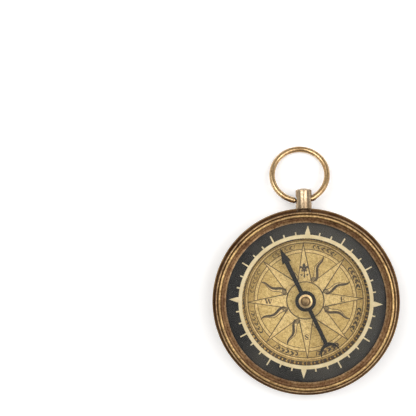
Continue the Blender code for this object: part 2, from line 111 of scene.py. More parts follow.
add_lamp("window_lamp", (-0.23, 0.16, 0.53), (0.40, 0.36), 1.66, WINDOW_TINT)
add_lamp("second_lamp", (0.25, 0.06, 0.53), (0.34, 0.36), 1.60, LAMP_TINT)
add_lamp("low_lamp", (0.40, -0.36, 0.17), (0.34, 0.2), 0.30, LAMP_TINT)

world = bpy.data.worlds.new("studio")
bpy.context.scene.world = world
world.use_nodes = True
world.node_tree.nodes["Background"].inputs["Color"].default_value = (WORLD_GREY,) * 3 + (1.0,)
bpy.context.scene.view_settings.view_transform = "Standard"

# %% [markdown]
# ## Pieces from a bmesh
# A bmesh is a mesh in the making. Every piece here is shaped in one with Blender's own mesh
# operators, and this helper then turns it into an object, smooth up to its sharp edges, hangs
# it on the body it moves with and hides the solid it stands for. The weighted normals keep
# flat faces looking flat right up to their rounded edges.

# %% Piece helper
SHARP_ANGLE = math.radians(40)


def as_mesh(shape, name="draft"):
    """Turns a bmesh into a mesh and lets the bmesh go."""
    mesh = bpy.data.meshes.new(name)
    shape.to_mesh(mesh)
    shape.free()
    return mesh


def add_piece(name, shape, material, body, stands_for=()):
    """Turns a bmesh, or a finished mesh, into a piece that rides on a body."""
    if isinstance(shape, bmesh.types.BMesh):
        mesh = as_mesh(shape, name)
    else:
        mesh = shape
        mesh.name = name
        mesh.materials.clear()
    mesh.materials.append(material)
    mesh.shade_smooth()
    mesh.set_sharp_from_angle(angle=SHARP_ANGLE)
    piece = add_object(name, mesh)
    weighted = piece.modifiers.new("flat faces stay flat", "WEIGHTED_NORMAL")
    weighted.keep_sharp = True
    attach(piece, body)
    if stands_for:
        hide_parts(*stands_for)
    print(name, len(mesh.polygons), "faces, rides on", body)


print("edges sharper than", round(math.degrees(SHARP_ANGLE)), "degrees stay sharp")

# %% [markdown]
# ## Turning
# Most of a compass comes off a lathe, so most of its pieces are one outline carried round an
# axis. The outline is a face with a few corners. Bevelling a corner of that face rounds it,
# and spin carries the outline round. Corners are (radius, height, rounding) in millimetres.

# %% Lathe helper
LATHE_STEPS = 240
COARSE_STEPS = 96
FINE_ROUND, ROUND_STEPS, FINE_ROUND_STEPS = 0.1, 6, 3
MERGE = 1e-7


def turn(corners, steps=LATHE_STEPS):
    """A closed turned shape about +Z, from (radius, height, rounding) corners in mm."""
    shape = bmesh.new()
    points = [shape.verts.new((r * MM, 0.0, z * MM)) for r, z, _ in corners]
    shape.faces.new(points)
    for point, (_, _, rounding) in list(zip(points, corners)):
        if rounding:
            segments = ROUND_STEPS if rounding > FINE_ROUND else FINE_ROUND_STEPS
            bmesh.ops.bevel(shape, geom=[point], offset=rounding * MM, offset_type="OFFSET",
                            affect="VERTICES", segments=segments, profile=0.5, material=-1)
    bmesh.ops.delete(shape, geom=list(shape.faces), context="FACES_ONLY")
    on_axis = [e for e in shape.edges if all(abs(v.co.x) < MERGE for v in e.verts)]
    bmesh.ops.delete(shape, geom=on_axis, context="EDGES")
    bmesh.ops.spin(shape, geom=list(shape.verts) + list(shape.edges), cent=(0, 0, 0),
                   axis=(0, 0, 1), dvec=(0, 0, 0), angle=math.tau, steps=steps,
                   use_merge=True, use_normal_flip=False, use_duplicate=False)
    bmesh.ops.remove_doubles(shape, verts=list(shape.verts), dist=MERGE)
    bmesh.ops.recalc_face_normals(shape, faces=list(shape.faces))
    return shape


def flat_ring(inner, outer, top, bottom, rounding=0):
    """A turned ring with a square section, its four corners rounded alike."""
    square = [(inner, top), (outer, top), (outer, bottom), (inner, bottom)]
    return turn([(r, z, rounding) for r, z in square])


print("lathe makes", LATHE_STEPS, "steps a turn")

# %% [markdown]
# ## Nodes
# A finish is a small network of nodes. These helpers keep each one short: they add a node and
# fill its sockets with values or with other nodes' outputs. All patterns use Object
# coordinates, in metres, so they stay on the piece.

# %% Node helpers
def fill(tree, node, inputs):
    """Fills sockets: a plain value is set, another node's output is linked."""
    for key, value in inputs.items():
        if isinstance(value, bpy.types.NodeSocket):
            tree.links.new(value, node.inputs[key])
        else:
            node.inputs[key].default_value = value


def add_node(tree, kind, inputs=None, **settings):
    """Adds a node with its settings, and fills its inputs."""
    node = tree.nodes.new("ShaderNode" + kind)
    for key, value in settings.items():
        setattr(node, key, value)
    fill(tree, node, inputs or {})
    return node


def add_math(tree, operation, first, second, clamp=False):
    """Works out one value from two."""
    node = add_node(tree, "Math", {0: first, 1: second}, operation=operation, use_clamp=clamp)
    return node.outputs[0]


def map_range(tree, value, low, high, to_low=0.0, to_high=1.0):
    """Carries a value from one range to another, and stops at its ends."""
    return add_node(tree, "MapRange", {"Value": value, "From Min": low, "From Max": high,
                                       "To Min": to_low, "To Max": to_high}).outputs[0]


def add_noise(tree, place, scale, detail, roughness):
    """Soft noise about 1 / scale metres across."""
    return add_node(tree, "TexNoise", {"Vector": place, "Scale": scale, "Detail": detail,
                                       "Roughness": roughness}).outputs["Fac"]


def add_bump(tree, shader, height, strength, depth):
    """Lets a pattern raise the surface by a depth in mm."""
    bump = add_node(tree, "Bump", {"Height": height, "Strength": strength, "Distance": depth * MM})
    fill(tree, shader, {"Normal": bump.outputs[0]})


def new_finish(name, metallic=0.0):
    """A material with its tree, its shader and the place on the piece."""
    material = bpy.data.materials.new(name)
    material.use_nodes = True
    tree = material.node_tree
    shader = tree.nodes["Principled BSDF"]
    fill(tree, shader, {"Metallic": metallic})
    return material, tree, shader, add_node(tree, "TexCoord").outputs["Object"]


print("node helpers ready")

# %% [markdown]
# ## Colours
# A colour starts as a mix of two, and tints then multiply it: a ramp of them over a noise
# gives specks and streaks, and a ramp over the radius gives a turned piece its zones.

# %% Colour helpers
def add_ramp(tree, factor, stops):
    """A ramp from (place, colour) stops."""
    node = add_node(tree, "ValToRGB", {"Fac": factor})
    elements = node.color_ramp.elements
    while len(elements) < len(stops):
        elements.new(1.0)
    for element, (place, colour) in zip(elements, stops):
        element.position = place
        element.color = (*colour, 1.0)
    return node.outputs["Color"]


def mix_colours(tree, factor, first, second, blend="MIX"):
    """Mixes two colours; each is three numbers or a socket."""
    pair = [c if isinstance(c, bpy.types.NodeSocket) else (*c, 1.0) for c in (first, second)]
    node = add_node(tree, "Mix", data_type="RGBA", blend_type=blend, clamp_factor=True)
    fill(tree, node, {0: factor, 6: pair[0], 7: pair[1]})
    return node.outputs[2]


def add_tints(tree, colour, value, tints, share=1.0):
    """Multiplies a colour by a ramp of tints over a value."""
    return mix_colours(tree, share, colour, add_ramp(tree, value, tints), "MULTIPLY")


def add_radius(tree, place):
    """How far a place lies from the Z axis."""
    flat = add_node(tree, "VectorMath", {0: place, 1: (1.0, 1.0, 0.0)}, operation="MULTIPLY")
    return add_node(tree, "VectorMath", {0: flat.outputs[0]}, operation="LENGTH").outputs["Value"]


def add_zones(tree, colour, radius, zones):
    """Tints a colour by the radius; zones are (radius in mm, tint) from the inside out."""
    low, high = zones[0][0], zones[-1][0]
    share = map_range(tree, radius, low * MM, high * MM)
    return add_tints(tree, colour, share, [((r - low) / (high - low), tint) for r, tint in zones])


print("colour helpers ready")

# %% [markdown]
# ## Turned brass
# Old brass is never one colour. The tool leaves fine rings round the axis, and brown tarnish
# stays in the hollows and on the slopes. The rings are noise that reads only the radius and the
# height, the tarnish is soft noise in space, and a ramp over the radius tints each step: its
# light tints are painted highlights on the beads, its dark ones painted shade in the grooves
# and on the slopes, along with the tarnish there. Where the colour is dark the surface is also
# duller, so one pattern gives both.

# %% Brass finish
TARNISH = (0.26, 0.145, 0.07)
SPREAD = (0.42, 0.72)
SPECK_TINTS = [(0.36, (0.34, 0.25, 0.19)), (0.48, (0.90, 0.87, 0.83)),
               (0.58, (1.06, 1.06, 1.05)), (0.68, (1.6, 1.58, 1.5))]
STREAK_TINTS = [(0.35, (0.80, 0.80, 0.80)), (0.62, (1.0, 1.0, 1.0))]
RING_SCALE, PATCH_SCALE, SPECK_SCALE = 5200, 230, 1900
DARK_METAL, LIGHT_METAL = 0.08, 0.5
UNEVEN = 0.06
MARK_DEPTH = 0.02


def turned_brass(name, *, clean, smooth, rough, tarnish=TARNISH, spread=SPREAD, zones=None,
                 marks=0.35, pitting=0.6, centre=(0, 0, 0), turn_back=(0, 0, 0)):
    """Brass turned about the axis through its centre that turn_back lays along +Z."""
    material, tree, shader, place = new_finish(name, metallic=1.0)
    place = add_node(tree, "Mapping", {"Vector": place, "Location": centre, "Rotation": turn_back},
                     vector_type="TEXTURE").outputs["Vector"]
    radius = add_radius(tree, place)
    level = add_node(tree, "SeparateXYZ", {"Vector": place}).outputs["Z"]
    ring_place = add_node(tree, "CombineXYZ", {"X": radius, "Z": level}).outputs[0]
    rings = add_noise(tree, ring_place, RING_SCALE, 3.0, 0.6)
    patches = add_noise(tree, place, PATCH_SCALE, 6.0, 0.62)
    specks = add_noise(tree, place, SPECK_SCALE, 4.0, 0.68)

    colour = mix_colours(tree, map_range(tree, patches, *spread), clean, tarnish)
    if zones:
        colour = add_zones(tree, colour, radius, zones)
    colour = add_tints(tree, colour, specks, SPECK_TINTS, pitting)
    colour = add_tints(tree, colour, rings, STREAK_TINTS)

    lightness = add_node(tree, "RGBToBW", {"Color": colour}).outputs[0]
    worn = map_range(tree, lightness, DARK_METAL, LIGHT_METAL, rough, smooth)
    mottle = map_range(tree, patches, 0.0, 1.0, -UNEVEN, UNEVEN)
    dullness = add_math(tree, "ADD", worn, mottle, clamp=True)
    fill(tree, shader, {"Base Color": colour, "Roughness": dullness})
    add_bump(tree, shader, add_math(tree, "ADD", rings, specks), marks, MARK_DEPTH)
    return material


print("brass helper ready")

# %% [markdown]
# ## The brasses
# Each turned piece has its own brass. The bezel's beads carry painted highlights and the groove
# between them painted shade, the case is painted dark under the bezel as painted shade and
# lighter on its rims as painted highlights, the wall round the card is polished, and the cap is
# bright on its flange, with a ring of painted shade round its dome.

# %% Brasses
# Painted highlight and shade: the light tints on the lip, crest and second bead are painted
# highlights; the dark tints on the slope, in its corners and in the groove are painted shade, along
# with tarnish in the hollows.
BEZEL_LIGHT_AND_SHADE = [
    (21.7, (1.25, 1.15, 1.05)), (21.9, (1.10, 0.92, 0.80)), (22.3, (0.66, 0.50, 0.40)),
    (22.48, (0.48, 0.36, 0.29)), (22.58, (0.72, 0.56, 0.48)), (22.90, (0.58, 0.45, 0.38)),
    (23.06, (0.40, 0.29, 0.23)), (23.22, (1.15, 1.02, 0.76)), (23.56, (1.22, 1.10, 0.82)),
    (23.72, (0.95, 0.82, 0.62)), (23.90, (0.22, 0.16, 0.12)), (24.06, (0.30, 0.23, 0.18)),
    (24.20, (1.00, 0.88, 0.74)), (24.36, (1.05, 0.95, 0.80)), (24.48, (0.40, 0.32, 0.25)),
    (24.60, (0.36, 0.29, 0.23)),
]
# Painted shade and highlight: the case is dark under the bezel as painted shade, and its rolled rim
# is light as painted highlight.
CASE_LIGHT_AND_SHADE = [
    (24.3, (0.70, 0.50, 0.40)), (24.6, (0.17, 0.12, 0.09)), (25.2, (0.20, 0.14, 0.11)),
    (25.36, (0.65, 0.56, 0.45)), (25.5, (0.85, 0.79, 0.68)),
]
# The dark tint where the cap's dome meets its flange is a ring of painted shade; the dome is darker
# than the flange.
CAP_SHADE_ZONES = [
    (0.0, (0.40, 0.36, 0.30)), (0.9, (0.36, 0.31, 0.26)), (1.28, (0.20, 0.15, 0.12)),
    (1.45, (0.85, 0.80, 0.72)), (1.9, (1.0, 0.95, 0.86)),
]
bezel_brass = turned_brass("bezel_brass", zones=BEZEL_LIGHT_AND_SHADE, clean=(0.56, 0.42, 0.25),
                           tarnish=(0.27, 0.178, 0.12), smooth=0.32, rough=0.55, pitting=0.85)
case_brass = turned_brass("case_brass", zones=CASE_LIGHT_AND_SHADE, clean=(0.46, 0.34, 0.20),
                          smooth=0.34, rough=0.55)
wall_brass = turned_brass("wall_brass", clean=(0.90, 0.70, 0.34), tarnish=(0.74, 0.52, 0.22),
                          spread=(0.5, 0.9), smooth=0.03, rough=0.09, marks=0.06, pitting=0.2)
cap_brass = turned_brass("cap_brass", zones=CAP_SHADE_ZONES, clean=(0.72, 0.54, 0.30),
                         spread=(0.5, 0.95), smooth=0.28, rough=0.42)
inner_brass = turned_brass("inner_brass", clean=(0.6, 0.44, 0.24), smooth=0.3, rough=0.45)
print("five brasses made")

# %% [markdown]
# ## Paper
# The card is printed paper that has gone the colour of straw: wide blotches, small mottling
# and fine fibre, each a noise of its own size. Zones tint it by the radius: its rim is darker,
# as painted shade under the edge of the dial, and a brighter strip of painted light lies at
# its very edge.

# %% Paper
MOTTLE_TINTS = [(0.36, (0.66, 0.60, 0.46)), (0.50, (0.96, 0.95, 0.92)), (0.66, (1.12, 1.11, 1.10))]
FIBRE_TINTS = [(0.34, (0.60, 0.56, 0.46)), (0.52, (0.96, 0.95, 0.93)), (0.66, (1.12, 1.12, 1.14))]
# Painted light and shade: the rim darkens as painted shade under the edge of the dial, and the last
# tint is a brighter strip of painted light at the very edge.
CARD_LIGHT_AND_SHADE = [
    (0.0, (1.04, 1.04, 1.0)), (13.2, (1.0, 1.0, 1.0)), (13.3, (0.96, 0.95, 0.90)),
    (14.3, (0.84, 0.82, 0.74)), (15.9, (0.82, 0.79, 0.68)), (16.5, (0.88, 0.84, 0.70)),
    (16.95, (0.86, 0.78, 0.56)), (17.6, (1.15, 1.02, 0.66)),
]
BLOTCH_SCALE, MOTTLE_SCALE, FIBRE_SCALE = 150, 1100, 3000
BLOTCHES = (0.38, 0.66)
FIBRE_DEPTH = 0.02


def aged_paper(name, light, dark, zones=None):
    """Old paper between a light and a dark colour, with painted light and shade in its zones."""
    material, tree, shader, place = new_finish(name)
    blotches = add_noise(tree, place, BLOTCH_SCALE, 6.0, 0.62)
    mottle = add_noise(tree, place, MOTTLE_SCALE, 4.0, 0.7)
    fibre = add_noise(tree, place, FIBRE_SCALE, 3.0, 0.7)
    colour = mix_colours(tree, map_range(tree, blotches, *BLOTCHES), light, dark)
    for noise, tints in ((mottle, MOTTLE_TINTS), (fibre, FIBRE_TINTS)):
        colour = add_tints(tree, colour, noise, tints)
    if zones:
        colour = add_zones(tree, colour, add_radius(tree, place), zones)
    fill(tree, shader, {"Base Color": colour, "Roughness": 0.7})
    add_bump(tree, shader, fibre, 0.25, FIBRE_DEPTH)
    return material


card_paper = aged_paper("card_paper", (0.615, 0.455, 0.178), (0.50, 0.352, 0.118), CARD_LIGHT_AND_SHADE)
ray_paper = aged_paper("ray_paper", (0.70, 0.53, 0.235), (0.60, 0.44, 0.175))
print("papers made")

# %% [markdown]
# ## Ink
# A press never lays ink evenly. Two noises together thin it in places, and the card shows
# through there as a paler brown. The scale's cream paint gets the same treatment, larger.

# %% Inks
PRESS_SCALE, PAINT_SCALE, WASH_SCALE = 1400, 500, 260
THINNED = (0.85, 1.25)
INK_DULLNESS = (0.45, 0.70)


def printed_ink(name, thick, thin, scale=PRESS_SCALE):
    """Ink between its thick and its thin colour."""
    material, tree, shader, place = new_finish(name)
    density = add_noise(tree, place, scale, 5.0, 0.65)
    wash = add_noise(tree, place, WASH_SCALE, 3.0, 0.5)
    both = add_math(tree, "ADD", density, wash)
    colour = mix_colours(tree, map_range(tree, both, *THINNED), thick, thin)
    dullness = map_range(tree, density, 0.0, 1.0, *INK_DULLNESS)
    fill(tree, shader, {"Base Color": colour, "Roughness": dullness})
    return material


rose_ink = printed_ink("rose_ink", (0.042, 0.024, 0.007), (0.14, 0.085, 0.026))
shade_ink = printed_ink("shade_ink", (0.016, 0.009, 0.004), (0.075, 0.042, 0.014))
cream_ink = printed_ink("cream_ink", (0.62, 0.515, 0.305), (0.54, 0.425, 0.225), PAINT_SCALE)
print("inks made")

# %% [markdown]
# ## Enamel and steel
# The black scale ring is satin enamel with a faint haze. The needle is blackened sheet steel,
# rolled lengthways, so its grain is noise drawn out roughly along the resting needle. The
# steel of the point has the same grain, but is left bright and polished.

# %% Enamel and steel
HAZE = (0.38, 0.68)
HAZE_SCALE, ENAMEL_GRAIN = 60, 3600
CLOUD_SCALE, STEEL_GRAIN, STRETCH = 420, 1500, 6.0
NEEDLE_TURN = math.radians(24.7)
GRAIN_DEPTH = 0.01


def satin_enamel(name):
    """Black enamel, greyer and duller where it is hazy."""
    material, tree, shader, place = new_finish(name)
    haze = add_noise(tree, place, HAZE_SCALE, 2.5, 0.5)
    grain = add_noise(tree, place, ENAMEL_GRAIN, 3.0, 0.6)
    colour = mix_colours(tree, map_range(tree, haze, *HAZE), (0.005, 0.0045, 0.0036),
                         (0.028, 0.0235, 0.0165))
    sheen = map_range(tree, haze, *HAZE, 0.24, 0.42)
    fill(tree, shader, {"Base Color": colour, "Roughness": sheen, "Specular IOR Level": 0.3})
    add_bump(tree, shader, grain, 0.2, GRAIN_DEPTH)
    return material


def sheet_steel(name, low, high, smooth, rough, metallic, gloss):
    """Steel with a grain that runs roughly along the resting needle."""
    material, tree, shader, place = new_finish(name, metallic)
    cloud = add_noise(tree, place, CLOUD_SCALE, 5.0, 0.6)
    along = add_node(tree, "Mapping", {"Vector": place, "Rotation": (0, 0, -NEEDLE_TURN),
                                       "Scale": (STRETCH, 1.0, 1.0)}).outputs[0]
    grain = add_noise(tree, along, STEEL_GRAIN, 3.0, 0.6)
    fill(tree, shader, {"Base Color": mix_colours(tree, cloud, low, high),
                        "Roughness": map_range(tree, cloud, 0.0, 1.0, smooth, rough),
                        "Specular IOR Level": gloss})
    add_bump(tree, shader, grain, 0.2, GRAIN_DEPTH)
    return material


chapter_enamel = satin_enamel("chapter_enamel")
needle_steel = sheet_steel("needle_steel", (0.006, 0.0055, 0.005), (0.018, 0.0165, 0.015),
                           smooth=0.40, rough=0.55, metallic=0.2, gloss=0.2)
pin_steel = sheet_steel("pin_steel", (0.42, 0.42, 0.43), (0.55, 0.55, 0.56),
                        smooth=0.2, rough=0.35, metallic=1.0, gloss=0.5)
print("enamel and steels made")

# %% [markdown]
# ## Glass
# The crystal is a flat, thin pane. Clear glass over a dial would stop the lamps and leave the
# card dark, so the shadow rays pass through it, while the eye still sees its faint gloss.
# A little dust and wear sits in its roughness.

# %% Crystal finish
def clear_pane(name):
    """Clear, lightly worn glass that casts no shadow."""
    material, tree, shader, place = new_finish(name)
    wear = add_noise(tree, place, 300, 4.0, 0.5)
    tint = add_ramp(tree, wear, [(0.3, (0.96, 0.965, 0.955)), (0.7, (0.985, 0.985, 0.98))])
    fill(tree, shader, {"Transmission Weight": 1.0, "IOR": 1.5, "Base Color": tint,
                        "Roughness": map_range(tree, wear, 0.0, 1.0, 0.0, 0.03)})
    through = add_node(tree, "BsdfTransparent", {"Color": (0.97, 0.97, 0.965, 1.0)})
    rays = add_node(tree, "LightPath").outputs
    either = add_node(tree, "MixShader", {0: rays["Is Shadow Ray"], 1: shader.outputs[0],
                                          2: through.outputs[0]})
    fill(tree, tree.nodes["Material Output"], {"Surface": either.outputs[0]})
    return material


crystal_glass = clear_pane("crystal_glass")
print("glass made")

# %% [markdown]
# ## Floor
# A pale round floor whose far edge turns up behind, all round, so the compass has the same
# quiet ground from every side. It is turned like the brass, and it isn't part of the compass.
# What the camera, a highlight or the glass sees of it glows a little, so it looks white there
# while no more light falls on the compass.

# %% Floor
FLOOR_GAP, FLOOR_DEPTH = 0.02, 5
FLOOR_REACH, FLOOR_RISE, FLOOR_BEND = 900, 330, 180
FLOOR_GLOW = 0.28


def glowing_white(name):
    """A faintly clouded white that glows only for what looks at it."""
    material, tree, shader, place = new_finish(name)
    cloud = add_noise(tree, place, 4, 2.0, 0.5)
    tint = add_ramp(tree, cloud, [(0.2, (0.90, 0.90, 0.90)), (0.8, (0.93, 0.93, 0.93))])
    fill(tree, shader, {"Base Color": tint, "Roughness": 0.9})
    rays = add_node(tree, "LightPath").outputs
    seen = rays["Is Camera Ray"]
    for kind in ("Is Glossy Ray", "Is Transmission Ray"):
        seen = add_math(tree, "ADD", seen, rays[kind], clamp=True)
    glow = add_node(tree, "Emission", {"Color": (1.0, 1.0, 1.0, 1.0),
                                       "Strength": add_math(tree, "MULTIPLY", seen, FLOOR_GLOW)})
    both = add_node(tree, "AddShader", {0: shader.outputs[0], 1: glow.outputs[0]})
    fill(tree, tree.nodes["Material Output"], {"Surface": both.outputs[0]})
    return material


outer = FLOOR_REACH + FLOOR_DEPTH
floor_mesh = as_mesh(turn([(0, -FLOOR_GAP, 0), (FLOOR_REACH, -FLOOR_GAP, FLOOR_BEND),
                           (FLOOR_REACH, FLOOR_RISE, 0), (outer, FLOOR_RISE, 0),
                           (outer, -FLOOR_DEPTH, 0), (0, -FLOOR_DEPTH, 0)], COARSE_STEPS), "floor")
floor_mesh.materials.append(glowing_white("floor_white"))
floor_mesh.shade_smooth()
floor = add_object("floor", floor_mesh)
print("floor reaches", FLOOR_REACH, "mm each way")

# %% [markdown]
# ## Drilling
# Two pieces have a hole that runs across their axis, which a lathe outline can't give. The
# hole is cut as a drill would cut it: a turned cutter is laid in place, and a boolean takes
# it out of the piece. The cut leaves slivers too thin to see, which are merged away.

# %% Drilling helper
DRILL_STEPS = 72
SLIVER = 2e-6
ALONG_Y = Matrix.Rotation(-math.pi / 2, 4, "X")
ALONG_X = Matrix.Rotation(math.pi / 2, 4, "Y")


def placed(place, turned):
    """The matrix that turns a shape and then carries it to a place in mm."""
    return Matrix.Translation(Vector(place) * MM) @ turned


def laid(shape, matrix):
    """A shape after a matrix is applied to all its points."""
    bmesh.ops.transform(shape, matrix=matrix, verts=list(shape.verts))
    return shape


def final_mesh(draft):
    """The mesh of an object with all that is set on it; the object itself goes."""
    bpy.context.view_layer.update()
    graph = bpy.context.evaluated_depsgraph_get()
    mesh = bpy.data.meshes.new_from_object(draft.evaluated_get(graph))
    bpy.data.objects.remove(draft, do_unlink=True)
    return mesh


def drilled(shape, cutter_corners, matrix):
    """Cuts a turned cutter, laid in place, out of a shape, and gives the shape that is left."""
    whole = add_object("draft", as_mesh(shape))
    cutter = add_object("draft", as_mesh(laid(turn(cutter_corners, DRILL_STEPS), matrix)))
    cut = whole.modifiers.new("drill", "BOOLEAN")
    cut.operation = "DIFFERENCE"
    cut.solver = "EXACT"
    cut.object = cutter
    result = bmesh.new()
    result.from_mesh(final_mesh(whole))
    bpy.data.objects.remove(cutter, do_unlink=True)
    bmesh.ops.remove_doubles(result, verts=list(result.verts), dist=SLIVER)
    bmesh.ops.dissolve_degenerate(result, edges=list(result.edges), dist=SLIVER)
    return result


print("drill makes", DRILL_STEPS, "steps a turn")

# %% [markdown]
# ## Case
# The pan that holds everything: a flat floor, a straight bore, a screwed spigot for the bezel,
# a thin rim that the bezel screws down to, and a rolled foot. One outline gives all of it. The
# pendant's stem passes the wall in a drilled hole, with a wider seat for its collar.

# %% Case
PENDANT_LEVEL = 5.7
BORE, SPIGOT, SIDE, RIM = 22.8, 23.65, 24.4, 25.55
SEAT_PLACE = 23.6
STEM_HOLE, COLLAR_SEAT, SEAT_DEPTH = 1.1, 2.9, 0.85

case_shape = turn([
    (0, 1.0, 0), (BORE, 1.0, 0.1), (BORE, 9.4, 0.12), (SPIGOT, 9.4, 0.12), (SPIGOT, 7.8, 0.05),
    (RIM, 7.8, 0.32), (RIM, 6.8, 0.4), (SIDE, 6.8, 0.12), (SIDE, 1.32, 0.04), (24.78, 1.5, 0.1),
    (RIM, 1.5, 0.7), (RIM, 0.0, 0.7), (0, 0.0, 0),
])
stem_cutter = [(0, 2.5, 0), (COLLAR_SEAT, 2.5, 0), (COLLAR_SEAT, SEAT_DEPTH, 0),
               (STEM_HOLE, SEAT_DEPTH, 0), (STEM_HOLE, -1.5, 0), (0, -1.5, 0)]
case_shape = drilled(case_shape, stem_cutter, placed((0, SEAT_PLACE, PENDANT_LEVEL), ALONG_Y))
add_piece("case_pan", case_shape, case_brass, "case", ["case_body"])

# %% [markdown]
# ## Bezel
# The ring that frames the glass: a lip, a slope with one fine ridge, a crest that its brass
# paints bright as a painted highlight, a groove painted dark as painted shade, a second bead
# and a rounded shoulder over a straight skirt.

# %% Bezel
LIP, CREST_IN, CREST_OUT, CREST_TOP = 21.7, 23.12, 23.74, 11.4
BEAD_IN, BEAD_OUT, BEAD_TOP = 24.06, 24.42, 10.98
SKIRT, SKIRT_BOTTOM, GLASS_SEAT = 24.6, 7.9, 9.8

add_piece("bezel_ring", turn([
    (LIP, GLASS_SEAT, 0.04), (LIP, 10.05, 0.07), (22.46, 10.57, 0.04), (22.575, 10.75, 0.04),
    (22.68, 10.78, 0.03), (CREST_IN, 11.13, 0.03), (CREST_IN, CREST_TOP, 0.26),
    (CREST_OUT, CREST_TOP, 0.26), (23.84, 10.66, 0.05), (24.02, 10.66, 0.04),
    (BEAD_IN, BEAD_TOP, 0.16), (BEAD_OUT, BEAD_TOP, 0.18), (24.48, 10.5, 0.04),
    (SKIRT, 10.38, 0.1), (SKIRT, SKIRT_BOTTOM, 0.12), (23.85, SKIRT_BOTTOM, 0.05),
    (23.85, GLASS_SEAT, 0.05),
]), bezel_brass, "case", ["bezel"])

# %% [markdown]
# ## Crystal, dial wall and scale ring
# The crystal is a flat disc with a broken edge. Under it lies the black scale ring, on the
# flange of a polished brass wall that runs down round the sunken card.

# %% Crystal, wall, scale ring and card
INSIDE = 22.7
CRYSTAL_TOP, CRYSTAL_BOTTOM, CRYSTAL_EDGE = 9.7, 8.8, 0.15
SCALE_TOP = 8.1
CARD_TOP = 2.7

add_piece("crystal_pane", turn([(0, CRYSTAL_TOP, 0), (INSIDE, CRYSTAL_TOP, CRYSTAL_EDGE),
                                (INSIDE, CRYSTAL_BOTTOM, CRYSTAL_EDGE), (0, CRYSTAL_BOTTOM, 0)]),
          crystal_glass, "case", ["crystal"])
add_piece("dial_wall", turn([(17.5, 7.7, 0.12), (INSIDE, 7.7, 0.06), (INSIDE, 7.3, 0.06),
                             (18.1, 7.3, 0.1), (18.1, 2.8, 0.06), (17.5, 2.8, 0.06)]),
          wall_brass, "case", ["dial_surround"])
add_piece("scale_ring", flat_ring(17.35, INSIDE, SCALE_TOP, 7.8, 0.05),
          chapter_enamel, "case", ["chapter_ring"])
add_piece("card", flat_ring(1.25, 18.7, CARD_TOP, 2.4, 0.04),
          card_paper, "case", ["dial_card"])

# %% [markdown]
# ## Printed scale
# A cream ring with a mark every ten degrees, a longer one every thirty and a pointed one at
# each quarter. Print has almost no thickness, so these are plates fifteen thousandths of a
# millimetre high. Each mark is a flat face, extruded up and turned to its place.

# %% Printed scale
PRINT_THICKNESS = 0.015
SCALE_TURN = -2.65
RING_IN, RING_OUT, MARK_ROOT = 17.37, 18.37, 18.3
SHORT_MARK, LONG_MARK, POINTED_MARK = 19.2, 20.3, 20.9


def add_plate(shape, outline, bottom, thickness, turn_by=0.0):
    """Adds an outline in mm as a thin plate, turned clockwise from +Y by degrees."""
    points = [shape.verts.new((x * MM, y * MM, bottom * MM)) for x, y in outline]
    face = shape.faces.new(points)
    raised = bmesh.ops.extrude_face_region(shape, geom=[face])
    upper = [g for g in raised["geom"] if isinstance(g, bmesh.types.BMVert)]
    bmesh.ops.translate(shape, verts=upper, vec=(0, 0, thickness * MM))
    spin_back = Matrix.Rotation(-math.radians(turn_by), 3, "Z")
    bmesh.ops.rotate(shape, verts=points + upper, cent=(0, 0, 0), matrix=spin_back)


scale_print = flat_ring(RING_IN, RING_OUT, SCALE_TOP + PRINT_THICKNESS, SCALE_TOP)
for mark in range(36):
    if mark % 9 == 0:
        outline = [(-0.72, MARK_ROOT), (0.72, MARK_ROOT), (0.66, 18.9), (0, POINTED_MARK),
                   (-0.66, 18.9)]
    else:
        reach = LONG_MARK if mark % 3 == 0 else SHORT_MARK
        outline = [(-0.2, MARK_ROOT), (0.2, MARK_ROOT), (0.17, reach), (-0.17, reach)]
    add_plate(scale_print, outline, SCALE_TOP, PRINT_THICKNESS, 10 * mark - SCALE_TURN)
bmesh.ops.recalc_face_normals(scale_print, faces=list(scale_print.faces))
add_piece("scale_print", scale_print, cream_ink, "case")

# %% [markdown]
# ## Drawn lines
# The lines of the card swell and thin like a pen's. A curve is a wire that can have another
# thickness at every point, so each line is such a wire, made into a mesh and pressed almost
# flat on the card. Places are given as a radius and a bearing, clockwise from north.

# %% Line helper
ROSE_TURN = -1.1
LINE_FLATNESS = 0.10
PEN = 0.1


def polar(radius, degrees, aside=0.0):
    """A point at a radius, clockwise from +Y, and moved aside across that direction, in mm."""
    a = math.radians(degrees + ROSE_TURN)
    return (radius * math.sin(a) + aside * math.cos(a), radius * math.cos(a) - aside * math.sin(a))


def wire_curve(name, radius, roundness):
    """A curve whose lines are wires of a radius in mm."""
    curve = bpy.data.curves.new(name, "CURVE")
    curve.dimensions = "3D"
    curve.bevel_depth = radius * MM
    curve.bevel_resolution = roundness
    curve.use_fill_caps = True
    return curve


def add_spline(curve, points, closed=False, level=0.0):
    """A line of a curve; points are (x, y, share of the full thickness)."""
    spline = curve.splines.new("POLY")
    spline.points.add(len(points) - 1)
    for point, (x, y, share) in zip(spline.points, points):
        point.co = (x * MM, y * MM, level * MM, 1.0)
        point.radius = share
    spline.use_cyclic_u = closed


class LineWork:
    """Drawn lines of varying width, gathered into one flat mesh."""

    def __init__(self, name):
        self.curve = wire_curve(name, PEN, 0)
        self.curve.twist_mode = "Z_UP"

    def line(self, points, closed=False, lift=0.0):
        """Points are (x, y, width) in mm."""
        shares = [(x, y, width / 2 / PEN) for x, y, width in points]
        add_spline(self.curve, shares, closed, lift / LINE_FLATNESS)

    def circle(self, radius, width, lift=0.0, steps=180):
        """A whole ring about the card's centre."""
        self.line([(*polar(radius, 360 * i / steps), width) for i in range(steps)], True, lift)

    def mesh(self, level):
        """The finished lines as a mesh, pressed flat at a level in mm."""
        result = final_mesh(add_object("draft", self.curve))
        result.transform(placed((0, 0, level), Matrix.Diagonal((1, 1, LINE_FLATNESS, 1))))
        return result


